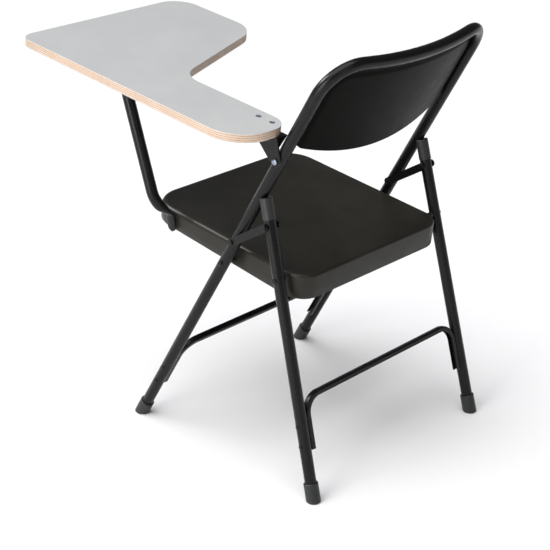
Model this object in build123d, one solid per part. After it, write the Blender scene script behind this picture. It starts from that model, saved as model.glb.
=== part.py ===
"""Folding chair with a left-hand writing tablet: one STEP file for each separate piece.

X points to the sitter's left, Y to the rear and Z up, in millimetres.  The model is drawn
about the chair's own middle plane and moved at the end, so that the origin lies on the
floor below the middle of the whole chair.
"""
from build123d import *
import os
from math import atan2, cos, degrees, radians, sin, sqrt, tan

# ---- frame tubes ---------------------------------------------------------------------------
tube_radius = 11.1            # 7/8 inch steel tube
tube_wall = 1.2
inside_half_width = 224.7     # middle plane to a leg's inner side, at the floor
floor_half_width = inside_half_width + tube_radius    # to its centre line
lean_in = 0.0338              # how far a leg moves towards the middle for each mm of height
front_foot_y = -273.5
front_rake = 0.59             # front frame leans to the rear, mm for each mm of height
rear_foot_y = 209.4
rear_rake = 0.251             # rear leg leans to the front, mm for each mm of height
hoop_height = 827.0           # top corners of the backrest hoop, centre line
hoop_corner_radius = 69.0
hoop_bow = 38.0               # the top rail's middle is pulled this far to the rear
rear_tube_top = 540.0
rear_cap_top = 561.0

# ---- feet and caps -------------------------------------------------------------------------
foot_wall = 2.8
foot_radius = tube_radius + foot_wall
foot_length = 38.0
foot_pad = 7.0                # plastic under the tube's end
cap_wall = 0.7
cap_radius = tube_radius + cap_wall
cap_length = 40.0
push_fit = 0.05

# ---- fold pivots (heights on the tubes' centre lines) --------------------------------------
seat_pivot_height = 406.5
link_front_height = 457.3
seat_rear_pivot_height = 413.75
link_rear_height = 510.0
rivet_radius = 3.5
rivet_head_radius = 5.6
rivet_head_height = 2.8
inner_head_height = 1.5
turning_fit = 0.05            # radial, rivet in a hole that turns on it
side_gap = 0.4                # between faces that pass each other
lean_gap = 0.22               # clears a flat head or washer from a leaning tube
link_width = 15.0
link_thickness = 2.5
inner_link_thickness = 1.8
link_outer_gap = 1.157        # outer link plates stand this far off the front tubes
link_inner_gap = 1.962        # inner link plates stand this far off the rear legs' caps
front_tube_side = floor_half_width - lean_in * link_front_height + tube_radius
rear_cap_side = floor_half_width - lean_in * link_rear_height - cap_radius
link_outer_x = front_tube_side + link_outer_gap       # inner face of the outer link plates
link_inner_x = rear_cap_side - link_inner_gap - inner_link_thickness    # of the inner ones
bush_radius = 6.0

# ---- braces --------------------------------------------------------------------------------
brace_half_width = 6.5
brace_depth = 10.0
brace_wall = 1.5
brace_bend_radius = 40.0
brace_tail = 13.0             # past the lower rivet
front_brace_height = 190.0
front_brace_rivets = (133.0, 96.0)
rear_brace_height = 196.0
rear_brace_rivets = (145.0, 108.0)
brace_rivet_radius = 2.4
brace_rivet_head = 3.9

# ---- seat ----------------------------------------------------------------------------------
seat_slope = 0.122            # rise towards the front
seat_height = 434.7           # top surface above the frame's y = 0
seat_front = -268.5           # along the slope
seat_depth = 413.8
seat_half_width = 200.5
seat_front_skirt = 38.6
seat_rear_skirt = 49.1
seat_front_corner = 62.0
seat_rear_corner = 44.0
seat_edge_radius = 6.0
sheet = 1.2
bracket_thickness = 2.5
bracket_front = 34.0          # reach ahead of the front pivot
bracket_rear = 12.0           # reach behind the rear pivot

# ---- backrest ------------------------------------------------------------------------------
back_bottom = 665.0           # height on the hoop where the panel's lower edge starts
back_bottom_dip = 27.0        # the lower edge hangs this far down at the middle
back_bottom_bow = 30.0
back_top_bow = 25.5
back_corner_radius = 24.0
back_top_corner_radius = 61.0
weld_gap = 0.15

# ---- writing tablet ------------------------------------------------------------------------
tablet_slope = 0.113          # rise towards the front
tablet_height = 711.3         # top surface above the frame's y = 0
tablet_rear = 106.0           # the edge over the hinge bracket, along the slope
tablet_length = 596.0
tablet_front = tablet_rear - tablet_length
tablet_outer = 319.5
tablet_inner = -91.5
tablet_arm_inner = 193.0
tablet_notch_arm = -168.0
tablet_notch_desk = -268.5
core_thickness = 14.2
laminate_thickness = 1.0
backer_thickness = 0.8
screw_x = 214.5
screw_places = (49.0, 82.0)
screw_radius = 2.4
screw_head_radius = 5.2
screw_head_height = 2.6

# ---- tablet hinge and support --------------------------------------------------------------
hinge_height = 639.0
hinge_bolt_radius = 4.0
hinge_head_radius = 5.8
hinge_cheek_gap = 1.0982      # room for the washer beside the upright
hinge_cheek_x = floor_half_width - lean_in * hinge_height + tube_radius + hinge_cheek_gap
plate_thickness = 3.0
flange_inner_x = 203.0
bracket_front_y = 43.0
bracket_rear_y = 108.0
support_x = 236.0
support_top = (-285.5, 710.5)
support_knee = (-203.0, 461.0)
support_foot = (-196.0, 431.5)
support_bend_radius = 55.0
foot_tab_width = 20.0
foot_tab_length = 33.0
foot_tab_thickness = 4.0
foot_tab_x = 203.2

made = {}


def front_point(side, height):
    """Centre line of a front leg and its backrest upright."""
    return Vector(side * (floor_half_width - lean_in * height), front_foot_y + front_rake * height, height)


def rear_point(side, height):
    """Centre line of a rear leg."""
    return Vector(side * (floor_half_width - lean_in * height), rear_foot_y - rear_rake * height, height)


def line_at(point, direction):
    """A plane whose Z runs along the direction, at the point."""
    return Plane(origin=point, z_dir=direction)


def bar_x(x_from, x_to, y, z, radius):
    """A round bar along X."""
    middle = Vector((x_from + x_to) / 2, y, z)
    return line_at(middle, (1, 0, 0)) * Cylinder(radius, abs(x_to - x_from))


def domed_head(x_face, outward, y, z, radius, height):
    """A round rivet or bolt head on a face square to X."""
    plane = line_at(Vector(x_face, y, z), (outward, 0, 0))
    head = Cylinder(radius, height, align=(Align.CENTER, Align.CENTER, Align.MIN))
    rim = head.edges().group_by(Axis.Z)[-1]
    return plane * fillet(rim, height * 0.7)


def rivet_x(side, x_in, x_out, y, z, radius, head_radius, head_height, inner_height):
    """A rivet along X, from an inner face to an outer face, with a head on each."""
    shank = bar_x(side * x_in, side * x_out, y, z, radius)
    outer = domed_head(side * x_out, side, y, z, head_radius, head_height)
    inner = domed_head(side * x_in, -side, y, z, head_radius, inner_height)
    return shank + outer + inner


def tube_along(path, radius, wall):
    """A hollow tube that follows a path."""
    section = line_at(path @ 0, path % 0) * (Circle(radius) - Circle(radius - wall))
    return sweep(section, path=path)


def keep(name, *solids):
    """Store a piece, or a group of like pieces, under its name."""
    made[name] = solids[0] if len(solids) == 1 else Compound(list(solids))


SIDES = (("left", 1), ("right", -1))
seat_angle = degrees(atan2(seat_slope, 1))
tablet_angle = degrees(atan2(tablet_slope, 1))
front_axis = Vector(0, front_rake, 1).normalized()
front_pivot = front_point(1, seat_pivot_height)
rear_pivot = rear_point(1, seat_rear_pivot_height)
link_front = front_point(1, link_front_height)
link_rear = rear_point(1, link_rear_height)
hinge = front_point(1, hinge_height)
seat_plane = Plane(origin=(0, 0, seat_height), x_dir=(1, 0, 0), z_dir=(0, seat_slope, 1))
tablet_plane = Plane(origin=(0, 0, tablet_height), x_dir=(1, 0, 0), z_dir=(0, tablet_slope, 1))


# ---- front frame: both front legs and the backrest hoop in one bent tube -------------------
def build_front_frame():
    foot_end = foot_pad
    corner_left = front_point(1, hoop_height)
    corner_right = front_point(-1, hoop_height)
    to_rear = Vector(0, 1, -front_rake).normalized()
    middle = Vector(0, corner_left.Y, corner_left.Z) + to_rear * hoop_bow
    half_rail = (middle - corner_left).length
    half_turn = atan2(hoop_bow, corner_left.X)
    rail_radius = (half_rail - hoop_corner_radius * 1.12) / tan(half_turn)
    points = (front_point(1, foot_end), corner_left, middle, corner_right, front_point(-1, foot_end))
    path = FilletPolyline(*points, radius=[hoop_corner_radius, rail_radius, hoop_corner_radius])
    frame = tube_along(path, tube_radius, tube_wall)
    for side, pivot in [(s, p) for _, s in SIDES for p in (front_pivot, link_front)]:
        frame -= bar_x(side * 190, side * 250, pivot.Y, pivot.Z, rivet_radius + push_fit)
    frame -= bar_x(190, 250, hinge.Y, hinge.Z, hinge_bolt_radius + push_fit)
    for _, side in SIDES:
        for height in front_brace_rivets:
            place = front_point(side, height)
            frame -= bar_x(side * 190, side * 260, place.Y, place.Z, brace_rivet_radius + push_fit)
    keep("front_frame", frame)


# ---- rear legs -----------------------------------------------------------------------------
def build_rear_legs():
    for name, side in SIDES:
        path = Line(rear_point(side, foot_pad), rear_point(side, rear_tube_top))
        leg = tube_along(path, tube_radius, tube_wall)
        leg -= bar_x(side * 190, side * 250, rear_pivot.Y, rear_pivot.Z, rivet_radius + push_fit)
        for height in rear_brace_rivets:
            place = rear_point(side, height)
            leg -= bar_x(side * 190, side * 260, place.Y, place.Z, brace_rivet_radius + push_fit)
        keep("rear_leg_" + name, leg)


# ---- plastic feet and the caps on the rear legs' upper ends --------------------------------
def foot(point_at, side):
    """A foot cap round a leg's lower end, flat where it stands on the floor."""
    low = point_at(side, 0)
    high = point_at(side, 100)
    axis = (high - low).normalized()
    blank = line_at(low - axis * 15, axis) * Cylinder(
        foot_radius, foot_length + 15, align=(Align.CENTER, Align.CENTER, Align.MIN))
    blank = chamfer(blank.edges().sort_by(Axis.Z)[-1], 1.0)
    floor = Box(80, 80, 40, align=(Align.CENTER, Align.CENTER, Align.MAX))
    blank -= Pos(low.X, low.Y, 0) * floor
    sole = blank.faces().sort_by(Axis.Z)[0]
    blank = fillet(sole.edges(), 3.5)
    bore_from = point_at(side, foot_pad) - axis * push_fit
    bore = line_at(bore_from, axis) * Cylinder(
        tube_radius + push_fit, foot_length, align=(Align.CENTER, Align.CENTER, Align.MIN))
    return blank - bore


def build_feet():
    for name, side in SIDES:
        keep("front_foot_" + name, foot(front_point, side))
        keep("rear_foot_" + name, foot(rear_point, side))


def build_leg_caps():
    """Each cap is hollowed along the upright that it rests against when the chair is open."""
    for name, side in SIDES:
        top = rear_point(side, rear_cap_top)
        axis = (top - rear_point(side, 0)).normalized()
        cap = line_at(top - axis * cap_length, axis) * Cylinder(
            cap_radius, cap_length, align=(Align.CENTER, Align.CENTER, Align.MIN))
        cap = fillet(cap.edges().sort_by(Axis.Z)[-1], 1.2)
        tube_top = rear_point(side, rear_tube_top) + axis * push_fit
        bore = line_at(tube_top, -axis) * Cylinder(
            tube_radius + push_fit, cap_length, align=(Align.CENTER, Align.CENTER, Align.MIN))
        cap -= bore
        low = front_point(side, rear_cap_top - 120)
        upright_axis = (front_point(side, rear_cap_top) - low).normalized()
        cap -= line_at(low, upright_axis) * Cylinder(
            tube_radius + side_gap, 300, align=(Align.CENTER, Align.CENTER, Align.MIN))
        to_rear = Vector(0, 1, -front_rake).normalized()
        front_limit = Plane(origin=front_point(side, rear_cap_top) + to_rear * 5.0, z_dir=to_rear)
        cap -= front_limit * Box(90, 160, 60, align=(Align.CENTER, Align.CENTER, Align.MAX))
        keep("rear_leg_cap_" + name, cap.solids().sort_by(SortBy.VOLUME)[-1])


# ---- cross braces --------------------------------------------------------------------------
def build_brace(name, point_at, bar_height, rivet_heights):
    """A pressed channel with its ends turned down along the insides of two legs."""
    def against(side, height):
        place = point_at(side, height)
        return Vector(place.X - side * (tube_radius + push_fit), place.Y, place.Z)

    leg_axis = (point_at(1, 100) - point_at(1, 0)).normalized()
    drop = brace_tail * leg_axis.Z
    low = rivet_heights[-1] - drop
    points = (against(1, low), against(1, bar_height), against(-1, bar_height), against(-1, low))
    path = FilletPolyline(*points, radius=[brace_bend_radius, brace_bend_radius])
    # the web lies against the legs, so the bar's open side faces the floor
    start = points[0]
    along = (path % 0)
    across = Vector(-1, 0, 0)
    section_plane = Plane(origin=start, x_dir=across, z_dir=along)
    outer = Rectangle(brace_depth, 2 * brace_half_width, align=(Align.MIN, Align.CENTER))
    outer = fillet(outer.vertices().group_by(Axis.X)[0], 3.5)
    hollow = Rectangle(brace_depth, 2 * (brace_half_width - brace_wall), align=(Align.MIN, Align.CENTER))
    hollow = Pos(brace_wall, 0) * fillet(hollow.vertices().group_by(Axis.X)[0], 1.0)
    channel = sweep(section_plane * (outer - hollow), path=path)
    rivets = []
    for _, side in SIDES:
        for height in rivet_heights:
            place = point_at(side, height)
            x_out = abs(place.X) + tube_radius + lean_gap
            x_in = abs(against(side, height).X) - brace_wall - lean_gap
            channel -= bar_x(side * 180, side * 250, place.Y, place.Z, brace_rivet_radius + push_fit)
            rivets.append(rivet_x(side, x_in, x_out, place.Y, place.Z,
                                  brace_rivet_radius, brace_rivet_head, 1.8, 1.6))
    keep(name, channel)
    keep(name + "_rivets", *rivets)


# ---- seat ----------------------------------------------------------------------------------
def seat_block(inset, edge_radius, extra):
    """The seat's outer form, or its hollow when it is set in by the sheet's thickness."""
    depth = seat_depth - 2 * inset
    plan = Rectangle(2 * (seat_half_width - inset), depth, align=(Align.CENTER, Align.MIN))
    front_corners = plan.vertices().group_by(Axis.Y)[0]
    plan = fillet(front_corners, seat_front_corner - inset)
    rear_corners = plan.vertices().group_by(Axis.Y)[-1]
    plan = fillet(rear_corners, seat_rear_corner - inset)
    front = seat_front + inset
    block = extrude(Pos(0, front, -inset) * plan, -90)
    fall = (seat_rear_skirt - seat_front_skirt) / seat_depth
    below = seat_front_skirt + extra
    side_outline = Polyline((seat_front - 20, 10), (seat_front + seat_depth + 20, 10),
                            (seat_front + seat_depth + 20, -below - fall * (seat_depth + 20)),
                            (seat_front - 20, -below + fall * 20), close=True)
    side_face = Plane.YZ * make_face(side_outline)
    block = block & extrude(side_face, 300, both=True)
    top = block.faces().sort_by(Axis.Z)[-1]
    return seat_plane * fillet(top.edges(), edge_radius)


def build_seat():
    pan = seat_block(0, seat_edge_radius, 0) - seat_block(sheet, seat_edge_radius - sheet, 20)
    foot_bolt = support_foot
    pivots = [(side, p.Y, p.Z, rivet_radius + turning_fit) for _, side in SIDES
              for p in (front_pivot, rear_pivot)]
    pivots.append((1, foot_bolt[0], foot_bolt[1], hinge_bolt_radius + push_fit))
    face_x = seat_half_width - sheet - push_fit
    front_v = front_pivot.Y / cos(radians(seat_angle)) - bracket_front
    rear_v = rear_pivot.Y / cos(radians(seat_angle)) + bracket_rear
    for side, y, z, radius in pivots:
        pan -= bar_x(side * (seat_half_width - 8), side * (seat_half_width + 5), y, z, radius)
    keep("seat_pan", pan)
    for name, side in SIDES:
        outline = Polyline((front_v, -9), (rear_v, -2.6), (rear_v, -22), (front_v + 40, -42),
                           (front_v, -36), close=True)
        plate = extrude(Plane.YZ * make_face(outline), bracket_thickness)
        corners = plate.edges().filter_by(Axis.X)
        plate = seat_plane * (Pos(face_x - bracket_thickness, 0, 0) * fillet(corners, 3.0))
        if side < 0:
            plate = mirror(plate, about=Plane.YZ)
        plate = plate & seat_block(sheet + push_fit, seat_edge_radius - sheet, 0)
        for pivot in (front_pivot, rear_pivot):
            plate -= bar_x(side * 180, side * 205, pivot.Y, pivot.Z, rivet_radius + turning_fit)
        keep("seat_bracket_" + name, plate)


# ---- fold rivets, bushes and links ---------------------------------------------------------
def build_pivots():
    bracket_face = seat_half_width - sheet - push_fit - bracket_thickness
    head_seat = bracket_face - side_gap
    front_rivets = []
    rear_rivets = []
    bushes = []
    rear_bushes = []
    link_rivets = []
    washers = []
    for _, side in SIDES:
        outer = abs(front_pivot.X) + tube_radius + lean_gap
        front_rivets.append(rivet_x(side, head_seat, outer, front_pivot.Y, front_pivot.Z, rivet_radius,
                                    rivet_head_radius, rivet_head_height, inner_head_height))
        outer = abs(rear_pivot.X) + tube_radius + lean_gap
        rear_rivets.append(rivet_x(side, head_seat, outer, rear_pivot.Y, rear_pivot.Z, rivet_radius,
                                   5.0, rivet_head_height, inner_head_height))
        for pivot, group in ((front_pivot, bushes), (rear_pivot, rear_bushes)):
            from_x = side * (seat_half_width + side_gap)
            to_x = side * (abs(pivot.X) - tube_radius - lean_gap)
            bush = bar_x(from_x, to_x, pivot.Y, pivot.Z, bush_radius)
            bush -= bar_x(from_x, to_x, pivot.Y, pivot.Z, rivet_radius + turning_fit)
            group.append(bush)
        outer = link_outer_x + link_thickness + side_gap
        inner = link_inner_x - 0.15
        link_rivets.append(rivet_x(side, inner, outer, link_front.Y, link_front.Z, rivet_radius,
                                   rivet_head_radius, rivet_head_height, inner_head_height))
        tube_out = abs(link_front.X) + tube_radius + lean_gap
        tube_in = abs(link_front.X) - tube_radius - lean_gap
        for x_from, x_to in ((tube_out, link_outer_x - 0.1),
                             (tube_in, link_inner_x + inner_link_thickness + 0.1)):
            washer = bar_x(side * x_from, side * x_to, link_front.Y, link_front.Z, bush_radius)
            hole = bar_x(side * x_from, side * x_to, link_front.Y, link_front.Z, rivet_radius + push_fit)
            washers.append(washer - hole)
    keep("seat_front_rivets", *front_rivets)
    keep("seat_rear_rivets", *rear_rivets)
    keep("front_bushes", *bushes)
    keep("rear_bushes", *rear_bushes)
    keep("link_rivets", *link_rivets)
    keep("link_washers", *washers)


def link_plate(side, x_inner, thickness):
    """A flat strip with rounded ends between the two link pivots."""
    reach = (link_rear - link_front)
    length = sqrt(reach.Y ** 2 + reach.Z ** 2)
    angle = degrees(atan2(reach.Z, reach.Y))
    strip = SlotCenterToCenter(length, link_width, rotation=angle)
    middle = (link_front + link_rear) * 0.5
    plane = Plane(origin=(side * (x_inner + thickness / 2), middle.Y, middle.Z),
                  x_dir=(0, 1, 0), z_dir=(1, 0, 0))
    plate = extrude(plane * strip, thickness / 2, both=True)
    span = (side * (x_inner - 5), side * (x_inner + thickness + 5))
    plate -= bar_x(*span, link_front.Y, link_front.Z, rivet_radius + turning_fit)
    return plate - bar_x(*span, link_rear.Y, link_rear.Z, rivet_radius + push_fit)


def build_links():
    """The rear rivet of each plate is a stub, so that the linkage's open pivot has room."""
    for name, side in SIDES:
        keep("link_outer_" + name, link_plate(side, link_outer_x, link_thickness))
        keep("link_inner_" + name, link_plate(side, link_inner_x, inner_link_thickness))
        y, z = link_rear.Y, link_rear.Z
        outer_face = link_outer_x + link_thickness
        outer = bar_x(side * link_outer_x, side * (outer_face + 0.2), y, z, rivet_radius)
        outer += domed_head(side * (outer_face + 0.1), side, y, z, rivet_head_radius, rivet_head_height)
        inner_face = link_inner_x + inner_link_thickness
        inner = bar_x(side * (link_inner_x - 0.2), side * inner_face, y, z, rivet_radius)
        inner += domed_head(side * (link_inner_x - 0.1), -side, y, z, rivet_head_radius, inner_head_height)
        keep("link_stub_rivets_" + name, outer, inner)


# ---- backrest panel ------------------------------------------------------------------------
def bow_band(height, bow, half_width):
    """A strip of sheet seen end on, bowed to the rear, square to the hoop's slope."""
    base = front_point(1, height)
    plane = Plane(origin=(0, base.Y, base.Z), x_dir=(1, 0, 0), z_dir=front_axis)
    def arc(offset):
        return ((-half_width, offset), (0, bow + offset), (half_width, offset))
    front_arc = ThreePointArc(*arc(-sheet / 2))
    rear_arc = ThreePointArc(*arc(sheet / 2))
    ends = [Line(front_arc @ 1, rear_arc @ 1), Line(rear_arc @ 0, front_arc @ 0)]
    return plane * make_face([front_arc, ends[0], rear_arc, ends[1]])


def build_back():
    half_width = floor_half_width - lean_in * back_bottom + 6
    band_low = bow_band(back_bottom - 30, back_bottom_bow, half_width)
    band_high = bow_band(hoop_height + 30, back_top_bow, half_width)
    slab = loft([band_low, band_high], ruled=True)
    slope_length = sqrt(1 + front_rake ** 2)
    low = back_bottom * slope_length
    high = hoop_height * slope_length - tube_radius - weld_gap
    low_x = floor_half_width - lean_in * back_bottom - tube_radius - weld_gap
    high_x = floor_half_width - lean_in * hoop_height - tube_radius - weld_gap
    lower = ThreePointArc((-low_x, low), (0, low - back_bottom_dip), (low_x, low))
    edges = [lower, Line((low_x, low), (high_x, high)), Line((high_x, high), (-high_x, high)),
             Line((-high_x, high), (-low_x, low))]
    outline = make_face(edges)
    rows = outline.vertices().group_by(Axis.Y)
    outline = fillet(rows[-1], back_top_corner_radius)
    outline = fillet(outline.vertices().group_by(Axis.Y)[0], back_corner_radius)
    face_plane = Plane(origin=(0, front_foot_y, 0), x_dir=(1, 0, 0), z_dir=Vector(0, -1, front_rake).normalized())
    prism = extrude(face_plane * outline, 120, both=True)
    panel = slab & prism
    keep("back_panel", panel)


# ---- writing tablet ------------------------------------------------------------------------
def tablet_outline():
    corners = ((tablet_outer, tablet_front, 28.0), (tablet_outer, tablet_rear, 72.0),
               (tablet_arm_inner, tablet_rear, 38.0),
               (tablet_arm_inner, tablet_notch_arm, 58.0), (tablet_inner, tablet_notch_desk, 72.0),
               (tablet_inner, tablet_front, 50.0))
    outline = make_face(Polyline(*[(x, y) for x, y, _ in corners], close=True))
    for x, y, radius in corners:
        outline = fillet(outline.vertices().sort_by_distance((x, y))[0], radius)
    return outline


def build_tablet():
    outline = tablet_outline()
    layers = (("tablet_laminate", 0.0, laminate_thickness), ("tablet_core", laminate_thickness, core_thickness),
              ("tablet_backer", laminate_thickness + core_thickness, backer_thickness))
    screws = []
    holes = []
    for y in screw_places:
        v = y / cos(radians(tablet_angle))
        length = laminate_thickness + core_thickness + backer_thickness + plate_thickness + 4
        shank = Pos(screw_x, v, -length / 2) * Cylinder(screw_radius, length)
        head = Pos(screw_x, v, -screw_head_height / 2) * Cone(screw_radius, screw_head_radius, screw_head_height)
        screws.append(tablet_plane * (shank + head))
        hole = Pos(screw_x, v, -length / 2) * Cylinder(screw_radius + push_fit, length)
        sink = Pos(screw_x, v, -screw_head_height / 2) * Cone(
            screw_radius + push_fit, screw_head_radius + push_fit, screw_head_height)
        holes.append(tablet_plane * (hole + sink))
    for name, top, thickness in layers:
        layer = tablet_plane * extrude(Pos(0, 0, -top) * outline, -thickness)
        for hole in holes:
            layer -= hole
        keep(name, layer)
    keep("tablet_rear_screws", *screws)
    return holes


def build_hinge_bracket(holes):
    """Top flange under the tablet, cheek outside the upright and a tapering rear web."""
    total = laminate_thickness + core_thickness + backer_thickness
    c = cos(radians(tablet_angle))
    under = Pos(0, 0, -total - push_fit)
    front_v, rear_v = bracket_front_y / c, bracket_rear_y / c
    outer_x = hinge_cheek_x + plate_thickness
    flange = Pos(0, front_v, 0) * under * Box(outer_x - flange_inner_x, rear_v - front_v, plate_thickness,
                                             align=(Align.MIN, Align.MIN, Align.MAX))
    flange = tablet_plane * (Pos(flange_inner_x, 0, 0) * flange)
    drop = total + push_fit
    top_z = lambda y: tablet_height - tablet_slope * y - drop / c
    nose = 11.0
    cheek_outline = make_hull([
        *(Pos(hinge.Y, hinge.Z) * Circle(nose)).edges(),
        Line((bracket_front_y, top_z(bracket_front_y)), (bracket_rear_y, top_z(bracket_rear_y))),
    ])
    cheek_plane = Plane(origin=(hinge_cheek_x, 0, 0), x_dir=(0, 1, 0), z_dir=(1, 0, 0))
    cheek = extrude(cheek_plane * cheek_outline, plate_thickness)
    web_bottom = hinge.Z + 24
    web = make_face(Polyline((outer_x, top_z(bracket_rear_y)), (flange_inner_x, top_z(bracket_rear_y)),
                             (hinge_cheek_x, web_bottom), (outer_x, web_bottom), close=True))
    web = extrude(Plane.XZ * web, plate_thickness)
    web = Pos(0, bracket_rear_y, 0) * web
    bracket = flange + cheek + web
    for hole in holes:
        bracket -= hole
    bracket -= bar_x(190, 250, hinge.Y, hinge.Z, hinge_bolt_radius + turning_fit)
    keep("tablet_hinge_bracket", bracket.solids().sort_by(SortBy.VOLUME)[-1])
    bolt_out = outer_x + side_gap
    bolt_in = hinge.X - tube_radius - 9
    bolt = bar_x(bolt_in, bolt_out, hinge.Y, hinge.Z, hinge_bolt_radius)
    bolt += domed_head(bolt_out, 1, hinge.Y, hinge.Z, hinge_head_radius, 4.0)
    nut_plane = Plane(origin=(hinge.X - tube_radius - 0.3, hinge.Y, hinge.Z), x_dir=(0, 0, 1), z_dir=(-1, 0, 0))
    nut = extrude(nut_plane * RegularPolygon(7.5, 6), 6.5)
    nut -= bar_x(bolt_in - 5, hinge.X, hinge.Y, hinge.Z, hinge_bolt_radius + push_fit)
    washer_from = hinge.X + tube_radius + 1.5 * lean_gap
    washer = bar_x(washer_from, hinge_cheek_x - 0.1, hinge.Y, hinge.Z, 9.0)
    washer -= bar_x(washer_from, hinge_cheek_x, hinge.Y, hinge.Z, hinge_bolt_radius + push_fit)
    keep("tablet_hinge_bolt", bolt)
    keep("tablet_hinge_nut", nut)
    keep("tablet_hinge_washer", washer)


def build_support():
    """Bent support tube with a flattened foot, hinged in a clevis under the tablet."""
    top = Vector(support_x, *support_top)
    knee = Vector(support_x, *support_knee)
    tab_face = foot_tab_x + foot_tab_thickness
    foot_end = Vector(tab_face - 2.0, support_foot[0], support_foot[1])
    path = FilletPolyline(top, knee, foot_end, radius=[support_bend_radius])
    outer = sweep(line_at(path @ 0, path % 0) * Circle(tube_radius), path=path)
    inner = sweep(line_at(path @ 0, path % 0) * Circle(tube_radius - tube_wall), path=path)
    trim = Pos(tab_face - 50, foot_end.Y, foot_end.Z) * Box(100, 120, 120)
    tab_plane = Plane(origin=(foot_tab_x, support_foot[0], support_foot[1]), x_dir=(0, 1, 0), z_dir=(1, 0, 0))
    tab = extrude(tab_plane * RectangleRounded(foot_tab_width, foot_tab_length, 7.0), foot_tab_thickness)
    tube = (outer - inner - trim) + tab
    tube -= bar_x(support_x - 30, support_x + 30, top.Y, top.Z, hinge_bolt_radius + turning_fit)
    keep("support_tube", tube.solids().sort_by(SortBy.VOLUME)[-1])


def build_clevis():
    """Channel bracket under the tablet, with the pin that the support tube turns on."""
    total = laminate_thickness + core_thickness + backer_thickness
    c = cos(radians(tablet_angle))
    pin_y, pin_z = support_top
    ear_half = 13.0
    base_top = tablet_height - tablet_slope * pin_y - (total + push_fit) / c
    gap = tube_radius + side_gap
    v = pin_y / c
    base = tablet_plane * (Pos(support_x, v, -total - push_fit) * Box(
        110, 2 * ear_half + 6, 2.0, align=(Align.CENTER, Align.CENTER, Align.MAX)))
    body = base
    for turn in (1, -1):
        ear_plane = Plane(origin=(support_x + turn * (gap + 1.0), 0, 0), x_dir=(0, 1, 0), z_dir=(1, 0, 0))
        outline = make_hull([
            *(Pos(pin_y, pin_z) * Circle(8.5)).edges(),
            Line((pin_y - ear_half, base_top + tablet_slope * ear_half - 0.5),
                 (pin_y + ear_half, base_top - tablet_slope * ear_half - 0.5)),
        ])
        body += extrude(ear_plane * outline, 1.0, both=True)
    pin_end = gap + 2.0 + push_fit
    body -= bar_x(support_x - 40, support_x + 40, pin_y, pin_z, hinge_bolt_radius + push_fit)
    keep("support_clevis", body)
    pin = bar_x(support_x - pin_end - 0.2, support_x + pin_end + 0.2, pin_y, pin_z, hinge_bolt_radius)
    for turn in (1, -1):
        pin += domed_head(support_x + turn * pin_end, turn, pin_y, pin_z, 5.5, 2.2)
    keep("support_pin", pin)
    screws = []
    for x in (-46, 46, -30, 30):
        place = Pos(support_x + x, v, -total - push_fit - 2.0)
        head = place * Cylinder(4.0, 1.8, align=(Align.CENTER, Align.CENTER, Align.MAX))
        screws.append(tablet_plane * head)
    keep("clevis_screws", *screws)


def build_foot_bolt():
    """Bolt fixed in the seat's side; it stops short of the tube's foot, the open pivot."""
    y, z = support_foot
    inner = seat_half_width - sheet
    bolt = bar_x(inner - 0.2, foot_tab_x - side_gap, y, z, hinge_bolt_radius)
    bolt += domed_head(inner - 0.1, -1, y, z, 7.0, 4.0)
    collar = bar_x(seat_half_width + 0.1, foot_tab_x - side_gap, y, z, 9.0)
    keep("support_foot_bolt", bolt + collar)


build_front_frame()
build_rear_legs()
build_feet()
build_leg_caps()
build_brace("front_brace", front_point, front_brace_height, front_brace_rivets)
build_brace("rear_brace", rear_point, rear_brace_height, rear_brace_rivets)
build_seat()
build_pivots()
build_links()
build_back()
bracket_holes = build_tablet()
build_hinge_bracket(bracket_holes)
build_support()
build_clevis()
build_foot_bolt()

whole = Compound(list(made.values())).bounding_box()
origin_shift = Pos(-(whole.min.X + whole.max.X) / 2, -(whole.min.Y + whole.max.Y) / 2, -whole.min.Z)
os.makedirs("parts", exist_ok=True)
for name, piece in made.items():
    export_step(origin_shift * piece, "parts/" + name + ".step")

shift = origin_shift.position
print("origin shift", round(shift.X, 4), round(shift.Y, 4), round(shift.Z, 4))
for label, place in (("seat_pivot", front_pivot), ("rear_pivot", rear_pivot), ("link_front", link_front),
                     ("link_rear", link_rear), ("hinge", hinge), ("support_pin", Vector(support_x, *support_top)),
                     ("support_foot", Vector(foot_tab_x, *support_foot))):
    print(label, round(place.X + shift.X, 4), round(place.Y + shift.Y, 4), round(place.Z + shift.Z, 4))
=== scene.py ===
import bpy
import bmesh
import math
from mathutils import Matrix, Vector


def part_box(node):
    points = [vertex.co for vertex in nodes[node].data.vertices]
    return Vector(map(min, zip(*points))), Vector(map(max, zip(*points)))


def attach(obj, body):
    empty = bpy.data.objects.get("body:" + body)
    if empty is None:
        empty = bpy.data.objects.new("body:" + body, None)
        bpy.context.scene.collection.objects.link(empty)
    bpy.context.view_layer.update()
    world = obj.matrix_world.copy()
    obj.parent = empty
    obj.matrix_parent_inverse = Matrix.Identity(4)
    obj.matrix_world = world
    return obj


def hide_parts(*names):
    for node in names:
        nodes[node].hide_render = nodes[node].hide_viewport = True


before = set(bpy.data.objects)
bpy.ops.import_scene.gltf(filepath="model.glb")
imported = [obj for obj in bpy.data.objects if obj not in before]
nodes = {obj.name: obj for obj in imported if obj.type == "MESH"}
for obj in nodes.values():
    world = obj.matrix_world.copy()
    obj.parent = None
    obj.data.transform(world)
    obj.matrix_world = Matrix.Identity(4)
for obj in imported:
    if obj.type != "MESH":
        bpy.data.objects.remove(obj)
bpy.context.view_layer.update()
print("frame loaded")

# the chair's own zero is on the floor, in the plane between its two sides
chair = {
    "seatSlope": 0.122, "tabletSlope": 0.113,  # rise towards the front
    "seatRearEdge": 0.143612,  # from the chair's zero to the seat's rear face
}
seatLow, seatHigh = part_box("seat_pan")
chairZero = Vector(((seatLow.x + seatHigh.x) / 2, seatHigh.y - chair["seatRearEdge"], 0.0))


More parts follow.
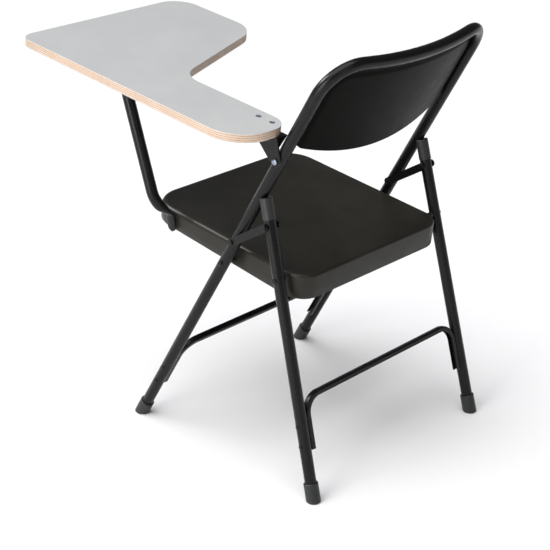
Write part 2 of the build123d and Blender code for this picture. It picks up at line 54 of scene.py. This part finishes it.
def newMaterial(name):
    mat = bpy.data.materials.new(name)
    mat.use_nodes = True
    tree = mat.node_tree
    return mat, tree, tree.nodes["Principled BSDF"]


def addNode(tree, kind, **settings):
    node = tree.nodes.new(kind)
    for key, value in settings.items():
        setattr(node, key, value)
    return node


def mathNode(tree, operation, a, b=None):
    # b is a socket, a plain number or nothing
    node = addNode(tree, "ShaderNodeMath", operation=operation)
    tree.links.new(a, node.inputs[0])
    if isinstance(b, float):
        node.inputs[1].default_value = b
    elif b is not None:
        tree.links.new(b, node.inputs[1])
    return node.outputs[0]


def noise(tree, coords, scale, detail, rough):
    node = addNode(tree, "ShaderNodeTexNoise")
    node.inputs["Scale"].default_value = scale
    node.inputs["Detail"].default_value = detail
    node.inputs["Roughness"].default_value = rough
    tree.links.new(coords, node.inputs["Vector"])
    return node.outputs["Fac"]


def ramp(tree, value, stops):
    node = addNode(tree, "ShaderNodeValToRGB")
    band = node.color_ramp
    while len(band.elements) < len(stops):
        band.elements.new(0.5)
    for element, (place, color) in zip(band.elements, stops):
        element.position = place
        element.color = (*color, 1.0)
    tree.links.new(value, node.inputs["Fac"])
    return node.outputs["Color"]


def mixColor(tree, factor, a, b, blend="MIX"):
    node = addNode(tree, "ShaderNodeMix", data_type="RGBA", blend_type=blend)
    if isinstance(factor, float):
        node.inputs["Factor"].default_value = factor
    else:
        tree.links.new(factor, node.inputs["Factor"])
    tree.links.new(a, node.inputs["A"])
    tree.links.new(b, node.inputs["B"])
    return node.outputs["Result"]


def mapRange(tree, value, low, high, toLow, toHigh):
    node = addNode(tree, "ShaderNodeMapRange")
    for key, number in (("From Min", low), ("From Max", high), ("To Min", toLow), ("To Max", toHigh)):
        node.inputs[key].default_value = number
    tree.links.new(value, node.inputs["Value"])
    return node.outputs["Result"]


def bump(tree, height, strength, distance, under=None):
    node = addNode(tree, "ShaderNodeBump")
    node.inputs["Strength"].default_value = strength
    node.inputs["Distance"].default_value = distance
    tree.links.new(height, node.inputs["Height"])
    if under is not None:
        tree.links.new(under, node.inputs["Normal"])
    return node.outputs["Normal"]


def stretched(tree, coords, **settings):
    # coordinates turned or scaled by a mapping node
    node = addNode(tree, "ShaderNodeMapping")
    for key, value in settings.items():
        node.inputs[key].default_value = value
    tree.links.new(coords, node.inputs["Vector"])
    return node.outputs["Vector"]


def objectCoords(tree):
    return addNode(tree, "ShaderNodeTexCoord").outputs["Object"]


smudgeSpan = (0.3, 0.7)  # the noise values between which gloss goes from its low to its high


def cloudTone(tree, coords, look):
    # dark to light over a soft noise
    return ramp(tree, noise(tree, coords, *look["cloud"]),
                tuple(zip(look["cloudSpan"], (look["dark"], look["light"]))))


def wornGloss(tree, shader, coords, look, under=None):
    # gloss that wanders from touch to touch, over a fine grain
    gloss = mapRange(tree, noise(tree, coords, *look["smudge"]), *smudgeSpan, *look["rough"])
    tree.links.new(gloss, shader.inputs["Roughness"])
    grain = noise(tree, look.get("grainCoords", coords), *look["grain"])
    tree.links.new(bump(tree, grain, *look["grainBump"], under), shader.inputs["Normal"])


# a noise is its scale, detail and roughness, and a bump its strength and depth
paintTexture = {
    "cloud": (14.0, 5.0, 0.6), "cloudSpan": (0.30, 0.74), "smudge": (35.0, 3.0, 0.5),
    "edgeReach": 0.0016, "edgeTurn": (0.985, 0.90),  # how far in, and how sharp, a rubbed edge is
    "patch": (60.0, 4.0, 0.7), "patchSpan": (0.45, 0.62),
    "peel": (260.0, 2.0, 0.4), "peelBump": (0.25, 0.00012),
}
framePaint = {
    "dark": (0.0030, 0.0031, 0.0030), "light": (0.0050, 0.0051, 0.0048), "worn": (0.020, 0.020, 0.019),
    "rough": (0.24, 0.34), "grain": (1500.0, 2.0, 0.5), "grainBump": (0.5, 0.00006),
    "wear": 0.35, "specular": 0.22,
}
seatPaint = {
    "dark": (0.0135, 0.0125, 0.0094), "light": (0.0215, 0.0200, 0.0152), "worn": (0.060, 0.058, 0.052),
    "rough": (0.34, 0.42), "grain": (1300.0, 2.0, 0.5), "grainBump": (0.5, 0.00007),
    "wear": 0.55, "specular": 0.24,
}
backPaint = {
    "dark": (0.0026, 0.0023, 0.0019), "light": (0.0040, 0.0036, 0.0030), "worn": (0.022, 0.021, 0.019),
    "rough": (0.34, 0.40), "grain": (1300.0, 2.0, 0.5), "grainBump": (0.5, 0.00007),
    "wear": 0.4, "specular": 0.03,
}


def powderCoat(name, paint):
    # baked black paint: a fine orange-peel grain, cloudy tone and edges rubbed thin
    look = {**paintTexture, **paint}
    mat, tree, shader = newMaterial(name)
    coords = objectCoords(tree)
    edge = addNode(tree, "ShaderNodeBevel", samples=4)
    edge.inputs["Radius"].default_value = look["edgeReach"]
    face = addNode(tree, "ShaderNodeNewGeometry")
    turn = addNode(tree, "ShaderNodeVectorMath", operation="DOT_PRODUCT")
    tree.links.new(edge.outputs["Normal"], turn.inputs[0])
    tree.links.new(face.outputs["Normal"], turn.inputs[1])
    sharp = mapRange(tree, turn.outputs["Value"], *look["edgeTurn"], 0.0, 1.0)
    patch = mapRange(tree, noise(tree, coords, *look["patch"]), *look["patchSpan"], 0.0, look["wear"])
    rubbed = addNode(tree, "ShaderNodeRGB").outputs[0]
    rubbed.default_value = (*look["worn"], 1.0)
    tone = mixColor(tree, mathNode(tree, "MULTIPLY", sharp, patch), cloudTone(tree, coords, look), rubbed)
    tree.links.new(tone, shader.inputs["Base Color"])
    peel = bump(tree, noise(tree, coords, *look["peel"]), *look["peelBump"])
    wornGloss(tree, shader, coords, look, peel)
    shader.inputs["Specular IOR Level"].default_value = look["specular"]
    return mat


capPlastic = {
    "dark": (0.0060, 0.0070, 0.0068), "light": (0.0105, 0.0120, 0.0115),
    "cloud": (55.0, 4.0, 0.6), "cloudSpan": (0.35, 0.7), "rough": (0.42, 0.55),
    "smudge": (120.0, 3.0, 0.5), "grain": (900.0, 3.0, 0.6), "grainBump": (0.35, 0.00008),
}


def mouldedPlastic(name, look):
    mat, tree, shader = newMaterial(name)
    coords = objectCoords(tree)
    tree.links.new(cloudTone(tree, coords, look), shader.inputs["Base Color"])
    wornGloss(tree, shader, coords, look)
    return mat


zincPlating = {
    "dark": (0.14, 0.16, 0.20), "light": (0.40, 0.45, 0.54),
    "cloud": (380.0, 5.0, 0.65), "cloudSpan": (0.3, 0.7), "rough": (0.22, 0.42),
    "smudge": (700.0, 3.0, 0.5), "grain": (1500.0, 3.0, 0.5), "grainBump": (0.2, 0.00005),
}


def platedSteel(name, look):
    mat, tree, shader = newMaterial(name)
    coords = objectCoords(tree)
    tree.links.new(cloudTone(tree, coords, look), shader.inputs["Base Color"])
    shader.inputs["Metallic"].default_value = 1.0
    wornGloss(tree, shader, coords, look)
    return mat


laminateSheet = {
    "dark": (0.520, 0.527, 0.530), "light": (0.560, 0.565, 0.565),
    "cloud": (9.0, 4.0, 0.6), "cloudSpan": (0.3, 0.72), "rough": (0.34, 0.46),
    "fleck": (1400.0, 2.0, 0.6), "fleckStops": ((0.30, (0.90, 0.90, 0.91)), (0.55, (1.0, 1.0, 1.0))),
    "fleckShare": 0.6, "smudge": (22.0, 3.0, 0.5), "grain": (1100.0, 2.0, 0.5), "grainBump": (0.18, 0.00005),
}


def laminate(name, look):
    # pale grey laminate: a faint fleck, a slight pebble and a few rubbed patches
    mat, tree, shader = newMaterial(name)
    coords = objectCoords(tree)
    fleck = ramp(tree, noise(tree, coords, *look["fleck"]), look["fleckStops"])
    tone = mixColor(tree, look["fleckShare"], cloudTone(tree, coords, look), fleck, "MULTIPLY")
    tree.links.new(tone, shader.inputs["Base Color"])
    wornGloss(tree, shader, coords, look)
    return mat


plywood = {
    "plies": 7, "thickness": 0.0142, "wander": (18.0, 3.0, 0.5), "wanderReach": 0.0009,
    "pale": (0.80, 0.69, 0.59), "tan": (0.64, 0.50, 0.385), "glue": (0.33, 0.21, 0.14),
    "bands": ((0.05, "glue"), (0.22, "tan"), (0.62, "pale"), (0.95, "tan")),
    "fibreScale": (40.0, 40.0, 900.0), "fibre": (3.0, 5.0, 0.65),
    "fibreStops": ((0.3, (0.62, 0.60, 0.58)), (0.65, (1.0, 1.0, 1.0))),
    "stain": (12.0, 4.0, 0.5), "stainStops": ((0.3, (0.80, 0.76, 0.72)), (0.7, (1.05, 1.0, 0.97))),
    "share": 0.8, "rough": (0.45, 0.62), "smudge": (90.0, 3.0, 0.5),
    "grain": (3.0, 4.0, 0.5), "grainBump": (0.4, 0.0002),
}


def plywoodEdge(name, look):
    # crosswise plies seen on the cut edge: pale and tan bands by turns, fine end grain and stains
    mat, tree, shader = newMaterial(name)
    level = stretched(tree, objectCoords(tree), Rotation=(math.atan(chair["tabletSlope"]), 0.0, 0.0))
    parts = addNode(tree, "ShaderNodeSeparateXYZ")
    tree.links.new(level, parts.inputs[0])
    reach = look["wanderReach"]
    wander = mapRange(tree, noise(tree, level, *look["wander"]), 0.0, 1.0, -reach, reach)
    height = mathNode(tree, "ADD", parts.outputs["Z"], wander)
    phase = mathNode(tree, "MULTIPLY", height, look["plies"] / look["thickness"] * math.pi)
    wave = mathNode(tree, "SINE", phase)
    stops = tuple((place, look[wood]) for place, wood in look["bands"])
    band = ramp(tree, mapRange(tree, wave, -1.0, 1.0, 0.0, 1.0), stops)
    along = stretched(tree, level, Scale=look["fibreScale"])
    fibre = ramp(tree, noise(tree, along, *look["fibre"]), look["fibreStops"])
    stain = ramp(tree, noise(tree, level, *look["stain"]), look["stainStops"])
    tone = mixColor(tree, look["share"], band, fibre, "MULTIPLY")
    tone = mixColor(tree, look["share"], tone, stain, "MULTIPLY")
    tree.links.new(tone, shader.inputs["Base Color"])
    wornGloss(tree, shader, level, {**look, "grainCoords": along})
    return mat


coats = {
    "frame": powderCoat("blackFrameCoat", framePaint),
    "seat": powderCoat("seatCoat", seatPaint),
    "back": powderCoat("backCoat", backPaint),
    "cap": mouldedPlastic("capPlastic", capPlastic),
    "zinc": platedSteel("zincPlate", zincPlating),
    "laminate": laminate("greyLaminate", laminateSheet),
    "ply": plywoodEdge("plywoodEdge", plywood),
}
coatedNodes = {
    "frame": [
        "front_frame", "front_brace", "front_brace_rivets", "rear_leg_left", "rear_leg_right", "rear_brace",
        "rear_brace_rivets", "seat_front_rivets", "seat_rear_rivets", "seat_bracket_left",
        "seat_bracket_right", "link_rivets", "link_washers", "link_outer_left", "link_outer_right",
        "link_inner_left", "link_inner_right", "link_stub_rivets_left", "link_stub_rivets_right",
        "tablet_hinge_bracket", "tablet_hinge_nut", "support_clevis", "support_tube",
    ],
    "seat": ["seat_pan"],
    "back": ["back_panel"],
    "cap": [
        "front_foot_left", "front_foot_right", "rear_foot_left", "rear_foot_right",
        "rear_leg_cap_left", "rear_leg_cap_right", "front_bushes", "rear_bushes",
    ],
    "zinc": [
        "tablet_hinge_bolt", "tablet_hinge_washer", "tablet_rear_screws", "support_pin",
        "support_foot_bolt", "clevis_screws",
    ],
    "laminate": ["tablet_laminate", "tablet_backer"],
    "ply": ["tablet_core"],
}
for coat, names in coatedNodes.items():
    for name in names:
        mesh = nodes[name].data
        mesh.materials.clear()
        mesh.materials.append(coats[coat])
print("finishes on the frame's nodes")


def slopeSpace(height, slope):
    # Y runs to the rear and down the slope, from that height over the chair's zero
    turn = Matrix.Rotation(-math.atan(slope), 4, "X")
    return Matrix.Translation(chairZero + Vector((0.0, 0.0, height))) @ turn


def finishPiece(name, bm, body, coat, sharp):
    # turns the bmesh into a piece that rides on a body, with its finish and its sharp edges
    mesh = bpy.data.meshes.new(name)
    bm.to_mesh(mesh)
    bm.free()
    mesh.materials.append(coats[coat])
    for face in mesh.polygons:
        face.use_smooth = True
    mesh.set_sharp_from_angle(angle=math.radians(sharp))
    obj = bpy.data.objects.new(name, mesh)
    bpy.context.scene.collection.objects.link(obj)
    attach(obj, body)
    return obj


def addSolidify(obj, thickness, offset):
    skin = obj.modifiers.new("sheetThickness", "SOLIDIFY")
    skin.thickness = thickness
    skin.offset = offset


def bridge(bm, ringA, ringB):
    # joins two closed rings of vertices with a band of faces
    edges = []
    for ring in (ringA, ringB):
        for vert, after in zip(ring, ring[1:] + ring[:1]):
            edges.append(bm.edges.get((vert, after)) or bm.edges.new((vert, after)))
    bmesh.ops.bridge_loops(bm, edges=edges)


def easing(share):
    # from 0 to 1 with a soft start and end
    return share * share * (3 - 2 * share)


seat = {
    "height": 0.4347, "front": -0.2685, "depth": 0.4138, "halfWidth": 0.2005,
    "frontCorner": 0.062, "rearCorner": 0.044, "frontSkirt": 0.0386, "rearSkirt": 0.0491,
    "frontEdge": 0.0125, "rearEdge": 0.0055, "sheet": 0.0012, "crown": 0.0012,
    "hemTurn": ((0.004, 0.0012), (0.0010, 0.0002), (0.0, 0.0016)),  # in from the skirt, up from its edge
    "skirtLoop": 0.62, "cornerSteps": 12, "edgeSteps": 8, "fieldSteps": 9,
}


def seatOutline(look):
    # points and outward directions round the seat's plan, corner by corner
    half, front = look["halfWidth"], look["front"]
    rear = front + look["depth"]
    ahead, behind = look["frontCorner"], look["rearCorner"]
    corners = (
        (half - behind, rear - behind, behind, 0.0), (behind - half, rear - behind, behind, 90.0),
        (ahead - half, front + ahead, ahead, 180.0), (half - ahead, front + ahead, ahead, 270.0),
    )
    points = []
    for x, y, radius, begin in corners:
        for step in range(look["cornerSteps"] + 1):
            angle = math.radians(begin + 90.0 * step / look["cornerSteps"])
            out = Vector((math.cos(angle), math.sin(angle)))
            points.append((Vector((x, y)) + out * radius, out))
    return points


def buildSeat():
    look = seat
    bm = bmesh.new()
    outline = seatOutline(look)

    def ring(pull, rise):
        # pull takes the local edge radius, rise takes that and the local skirt
        verts = []
        for point, out in outline:
            share = (point.y - look["front"]) / look["depth"]
            edge = look["frontEdge"] + (look["rearEdge"] - look["frontEdge"]) * share
            skirt = look["frontSkirt"] + (look["rearSkirt"] - look["frontSkirt"]) * share
            place = point - out * pull(edge)
            verts.append(bm.verts.new((place.x, place.y, rise(edge, skirt))))
        return verts

    rings = [ring(lambda edge: inward, lambda edge, skirt: lift - skirt) for inward, lift in look["hemTurn"]]
    rings.append(ring(lambda edge: 0.0, lambda edge, skirt: -skirt * look["skirtLoop"]))
    for step in range(look["edgeSteps"] + 1):
        angle = math.radians(90.0 * step / look["edgeSteps"])
        rings.append(ring(lambda edge: edge * (1 - math.cos(angle)),
                          lambda edge, skirt: -edge * (1 - math.sin(angle))))
    middle = Vector((0.0, look["front"] + look["depth"] / 2, 0.0))
    rim = rings[-1]
    for step in range(1, look["fieldSteps"]):
        keep = 1.0 - step / look["fieldSteps"]
        inner = []
        for vert in rim:
            place = middle + (vert.co - middle) * keep
            place.z = look["crown"] * (1.0 - keep) * (1.0 + keep)
            inner.append(bm.verts.new(place))
        rings.append(inner)
    for low, high in zip(rings, rings[1:]):
        bridge(bm, low, high)
    centre = bmesh.ops.contextual_create(bm, geom=rings[-1])["faces"]
    bmesh.ops.poke(bm, faces=centre)
    bmesh.ops.recalc_face_normals(bm, faces=bm.faces)
    bmesh.ops.transform(bm, matrix=slopeSpace(look["height"], chair["seatSlope"]), verts=bm.verts)
    obj = finishPiece("seatShell", bm, "seat_body", "seat", sharp=50.0)
    addSolidify(obj, look["sheet"], -1.0)
    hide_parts("seat_pan")
    print("seat shell")


backrest = {
    "footY": -0.2735, "rake": 0.59, "lean": 0.0338, "footHalf": 0.2358, "tube": 0.01125,
    "bottom": 0.665, "dip": 0.027, "bottomBow": 0.030, "top": 0.827, "topBow": 0.0255,
    "topCorner": 0.052, "bottomCorner": 0.024, "flange": 0.0125, "bowEnd": 0.6,
    "press": 0.0026, "pressRun": 0.0045, "lip": 0.0023, "lipTurn": 290.0, "lipSteps": 9,
    "sheet": 0.0012, "columns": 96, "rows": 44,
}


def backSpace(look):
    # x across, Y up along the hoop's slope, Z to the rear, from the feet's line on the floor
    along = Vector((0.0, look["rake"], 1.0)).normalized()
    back = Vector((0.0, 1.0, -look["rake"])).normalized()
    space = Matrix((Vector((1.0, 0.0, 0.0)), along, back)).transposed().to_4x4()
    return Matrix.Translation(chairZero + Vector((0.0, look["footY"], 0.0))) @ space


def cornerCut(x, half, radius):
    # how far a rounded corner pulls the edge in, at x across
    over = abs(x) - (half - radius)
    return 0.0 if over <= 0 else radius - math.sqrt(max(0.0, radius ** 2 - over ** 2))


def shapeBack(bm, look, low, high):
    # lays a square grid out as the bowed sheet, with a flat flange and a pressed field
    lowHalf = look["footHalf"] - look["lean"] * look["bottom"] - look["tube"]
    highHalf = look["footHalf"] - look["lean"] * look["top"] - look["tube"]
    radius = look["topCorner"]
    for vert in bm.verts:
        across = math.sin(vert.co.x * math.pi / 2)
        up = 0.5 + 0.5 * math.sin(vert.co.y * math.pi / 2)
        dip = look["dip"] * (1 - across ** 2)
        edgeLow = low - dip + cornerCut(across * lowHalf, lowHalf, look["bottomCorner"])
        edgeHigh = high - cornerCut(across * highHalf, highHalf, radius)
        rise = edgeLow + (edgeHigh - edgeLow) * up
        share = (rise - low) / (high - low)
        half = lowHalf + (highHalf - lowHalf) * share
        x = across * half
        bow = look["bottomBow"] + (look["topBow"] - look["bottomBow"]) * share
        depth = bow * (1 - min(1.0, abs(x) / (half - look["flange"] * look["bowEnd"])) ** 2)
        inTop = Vector((max(0.0, abs(x) - (half - radius)), max(0.0, rise - (high - radius))))
        edge = min(half - abs(x), radius - inTop.length, high - rise)
        depth += look["press"] * easing(min(1.0, max(0.0, (edge - look["flange"]) / look["pressRun"])))
        vert.co = (x, rise, depth)


def isLowerEdge(edge, height):
    # a free edge that runs more across than up, below that height
    run = edge.verts[0].co - edge.verts[1].co
    return (edge.is_boundary and max(v.co.y for v in edge.verts) < height
            and abs(run.y) < abs(run.x) + 1e-6)


def rollLip(bm, look, low):
    # the lower edge is rolled to the front
    hem = [edge for edge in bm.edges if isLowerEdge(edge, low + look["bottomCorner"])]
    for step in range(1, look["lipSteps"] + 1):
        before, angle = (math.radians(look["lipTurn"] * k / look["lipSteps"]) for k in (step - 1, step))
        grown = bmesh.ops.extrude_edge_only(bm, edges=hem)["geom"]
        hem = [g for g in grown if isinstance(g, bmesh.types.BMEdge) and g.is_boundary
               and all(v in grown for v in g.verts)]
        move = Vector((0.0, -look["lip"] * (math.sin(angle) - math.sin(before)),
                       look["lip"] * (math.cos(angle) - math.cos(before))))
        bmesh.ops.translate(bm, vec=move, verts=[g for g in grown if isinstance(g, bmesh.types.BMVert)])


def buildBack():
    look = backrest
    stretch = math.sqrt(1 + look["rake"] ** 2)
    low = look["bottom"] * stretch
    high = look["top"] * stretch - look["tube"]
    bm = bmesh.new()
    bmesh.ops.create_grid(bm, x_segments=look["columns"], y_segments=look["rows"], size=1.0)
    shapeBack(bm, look, low, high)
    rollLip(bm, look, low)
    bmesh.ops.transform(bm, matrix=backSpace(look), verts=bm.verts)
    bmesh.ops.recalc_face_normals(bm, faces=bm.faces)
    obj = finishPiece("backrestSheet", bm, "front_frame_body", "back", sharp=60.0)
    addSolidify(obj, look["sheet"], 0.0)
    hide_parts("back_panel")
    print("backrest sheet")


support = {
    "x": 0.236, "top": (-0.2855, 0.7105), "past": 0.008, "knee": (-0.2098, 0.4815), "radius": 0.0111,
    "bend": 0.055, "shinBend": 0.012, "shin": (0.2085, -0.1985, 0.4520), "foot": (0.2052, -0.1960, 0.4315),
    "tabHalf": 0.0165, "flat": 0.0020, "pressBelow": 0.004, "pressRun": 0.030,
    "tip": 0.009, "tipLeast": 0.02, "bendSteps": 10, "footSteps": 9, "around": 36,
}


def bentPath(corners, radii, steps):
    # points along straight runs joined by arcs
    points = [corners[0]]
    for before, at, after, radius in zip(corners, corners[1:], corners[2:], radii):
        back = (before - at).normalized()
        ahead = (after - at).normalized()
        half = (math.pi - back.angle(ahead)) / 2
        reach = radius * math.tan(half)
        start, end = at + back * reach, at + ahead * reach
        centre = at + (back + ahead).normalized() * radius / math.cos(half)
        for step in range(steps + 1):
            spoke = (start - centre).normalized().slerp((end - centre).normalized(), step / steps)
            points.append(centre + spoke * radius)
    points.append(corners[-1])
    return points


def sweptTube(bm, points, sections, around):
    # each section is half the tube's thickness and half its width
    rings = []
    for number, point in enumerate(points):
        ahead = points[min(number + 1, len(points) - 1)] - points[max(number - 1, 0)]
        ahead.normalize()
        wide = Vector((0.0, 1.0, 0.0)) - ahead * ahead.y
        wide.normalize()
        thin = ahead.cross(wide)
        made = bmesh.ops.create_circle(bm, segments=around, radius=1.0, cap_ends=False)["verts"]
        halfThin, halfWide = sections[number]
        for vert in made:
            vert.co = point + thin * vert.co.x * halfThin + wide * vert.co.y * halfWide
        rings.append(made)
    for low, high in zip(rings, rings[1:]):
        bridge(bm, low, high)
    for ring in (rings[0], rings[-1]):
        bmesh.ops.contextual_create(bm, geom=ring)


def supportSection(z, look):
    # round above, pressed flat at the foot, with the foot's lower end rounded. z is over the floor
    footZ = look["foot"][2]
    above = z - (footZ + look["tabHalf"]) + look["pressBelow"]
    ease = easing(min(1.0, max(0.0, above / look["pressRun"])))
    thin = look["flat"] + (look["radius"] - look["flat"]) * ease
    under = max(0.0, (footZ - look["tabHalf"] + look["tip"] - z) / look["tip"])
    wide = look["radius"] * math.sqrt(max(look["tipLeast"], 1 - min(1.0, under) ** 2))
    return thin, wide


def buildSupport():
    look = support
    top = Vector((look["x"], *look["top"]))
    knee = Vector((look["x"], *look["knee"]))
    top += (top - knee).normalized() * look["past"]
    end = Vector(look["foot"]) + Vector((0.0, 0.0, -look["tabHalf"]))
    corners = [top, knee, Vector(look["shin"]), end]
    path = bentPath(corners, [look["bend"], look["shinBend"]], look["bendSteps"])
    ankle, end = path[-2:]
    steps = look["footSteps"]
    path = path[:-1] + [ankle.lerp(end, k / steps) for k in range(1, steps + 1)]
    sections = [supportSection(point.z, look) for point in path]
    bm = bmesh.new()
    sweptTube(bm, [point + chairZero for point in path], sections, look["around"])
    bmesh.ops.recalc_face_normals(bm, faces=bm.faces)
    obj = finishPiece("supportTube", bm, "support_tube_body", "frame", sharp=50.0)
    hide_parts("support_tube")
    print("support tube")


screws = {
    "height": 0.7113, "x": 0.2145, "places": (0.04931, 0.08252), "slotTurns": (77.379, 107.268),
    "radius": 0.0052, "dome": 0.0009, "skirt": 0.0006, "seatGap": 0.0002,
    "slotLength": 0.0031, "slotHalf": 0.00075, "slotDepth": 0.0016, "slotLift": 0.0002,
    "rings": 16, "around": 72,
}


def screwHead(look, turn):
    # a low dome spun round Z, with a cross pressed into it
    bm = bmesh.new()
    shares = [k / look["rings"] for k in range(look["rings"] + 1)]
    rim = look["radius"]
    verts = [bm.verts.new((rim * share, 0.0, look["dome"] * (1 - share ** 2))) for share in shares]
    verts.append(bm.verts.new((rim, 0.0, -look["skirt"])))
    edges = [bm.edges.new(pair) for pair in zip(verts, verts[1:])]
    bmesh.ops.spin(bm, geom=verts + edges, cent=(0, 0, 0), axis=(0, 0, 1), angle=math.tau,
                   steps=look["around"], use_merge=True)
    bmesh.ops.remove_doubles(bm, verts=bm.verts, dist=1e-6)
    facing = Matrix.Rotation(math.radians(turn), 3, "Z")
    for vert in bm.verts:
        x, y, z = facing @ vert.co
        for along, aside in ((abs(x), abs(y)), (abs(y), abs(x))):
            if along < look["slotLength"] and aside < look["slotHalf"]:
                vert.co.z = look["slotLift"] - look["slotDepth"] * (1 - along / look["slotLength"])
    return bm


def buildScrews():
    look = screws
    whole = bmesh.new()
    for place, turn in zip(look["places"], look["slotTurns"]):
        bm = screwHead(look, turn)
        stand = Matrix.Translation((look["x"], place, look["seatGap"]))
        space = slopeSpace(look["height"], chair["tabletSlope"]) @ stand
        bmesh.ops.transform(bm, matrix=space, verts=bm.verts)
        bmesh.ops.recalc_face_normals(bm, faces=bm.faces)
        part = bpy.data.meshes.new("screwPart")
        bm.to_mesh(part)
        bm.free()
        whole.from_mesh(part)
        bpy.data.meshes.remove(part)
    obj = finishPiece("tabletScrewHeads", whole, "tablet_body", "zinc", sharp=30.0)
    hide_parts("tablet_rear_screws")
    print("tablet screws")


buildSeat()
buildBack()
buildSupport()
buildScrews()

stageLook = {
    "floorColor": (0.96, 0.96, 0.97), "floorRough": 0.85, "floorHalf": 30.0,
    "world": (0.93, 0.95, 1.0), "worldStrength": 0.15,
    "skyPanel": 3.05, "skySpread": 70.0, "skyFrom": (0.35, -0.10, 1.0),
}
lamps = [  # the last one shows only as highlights
    {"place": (2.9, 0.3, 1.1), "aim": (0.0, 0.0, 0.50), "size": 1.6, "watts": 55.0,
     "color": (1.0, 0.97, 0.95), "onMatt": True},
    {"place": (1.2, 3.4, 1.9), "aim": (0.0, 0.0, 0.45), "size": 1.2, "watts": 8.0,
     "color": (1.0, 0.99, 0.97), "onMatt": True},
    {"place": (1.3, -2.1, 2.4), "aim": (0.0, 0.0, 0.43), "size": 0.8, "watts": 90.0,
     "color": (1.0, 1.0, 1.0), "onMatt": False},
]
camera = {
    "place": (1.95840, 1.78920, 1.52280), "aim": (0.06934, -0.05277, 0.32354),  # from the chair's zero
    "lens": 97.43, "sensor": 36.0,
}


def placeObject(name, data, place, aim):
    # puts a lamp or a camera at a place and turns it to the aim
    holder = bpy.data.objects.new(name, data)
    holder.location = place
    holder.rotation_euler = (Vector(aim) - Vector(place)).to_track_quat("-Z", "Y").to_euler()
    bpy.context.scene.collection.objects.link(holder)
    return holder


def buildStage():
    look = stageLook
    bm = bmesh.new()
    bmesh.ops.create_grid(bm, x_segments=1, y_segments=1, size=look["floorHalf"])
    mesh = bpy.data.meshes.new("floor")
    bm.to_mesh(mesh)
    bm.free()
    floor = bpy.data.objects.new("floor", mesh)
    bpy.context.scene.collection.objects.link(floor)
    mat, tree, shader = newMaterial("paleFloor")
    shader.inputs["Base Color"].default_value = (*look["floorColor"], 1.0)
    shader.inputs["Roughness"].default_value = look["floorRough"]
    mesh.materials.append(mat)


def buildLights():
    world = bpy.data.worlds.new("studio")
    world.use_nodes = True
    back = world.node_tree.nodes["Background"]
    back.inputs["Color"].default_value = (*stageLook["world"], 1.0)
    back.inputs["Strength"].default_value = stageLook["worldStrength"]
    bpy.context.scene.world = world
    sky = bpy.data.lights.new("skyPanel", "SUN")  # a wide, even softbox overhead
    sky.energy = stageLook["skyPanel"]
    sky.angle = math.radians(stageLook["skySpread"])
    placeObject("skyPanel", sky, stageLook["skyFrom"], (0.0, 0.0, 0.0))
    for number, look in enumerate(lamps):
        lamp = bpy.data.lights.new("softbox" + str(number), "AREA")
        lamp.size = look["size"]
        lamp.energy = look["watts"]
        lamp.color = look["color"]
        holder = placeObject(lamp.name, lamp, look["place"], look["aim"])
        holder.visible_diffuse = look["onMatt"]


def buildCamera():
    lens = bpy.data.cameras.new("camera")
    lens.lens = camera["lens"]
    lens.sensor_width = camera["sensor"]
    place = chairZero + Vector(camera["place"])
    aim = chairZero + Vector(camera["aim"])
    bpy.context.scene.camera = placeObject("camera", lens, place, aim)


buildStage()
buildLights()
buildCamera()
bpy.context.scene.view_settings.view_transform = "Standard"
print("stage, lights and camera")
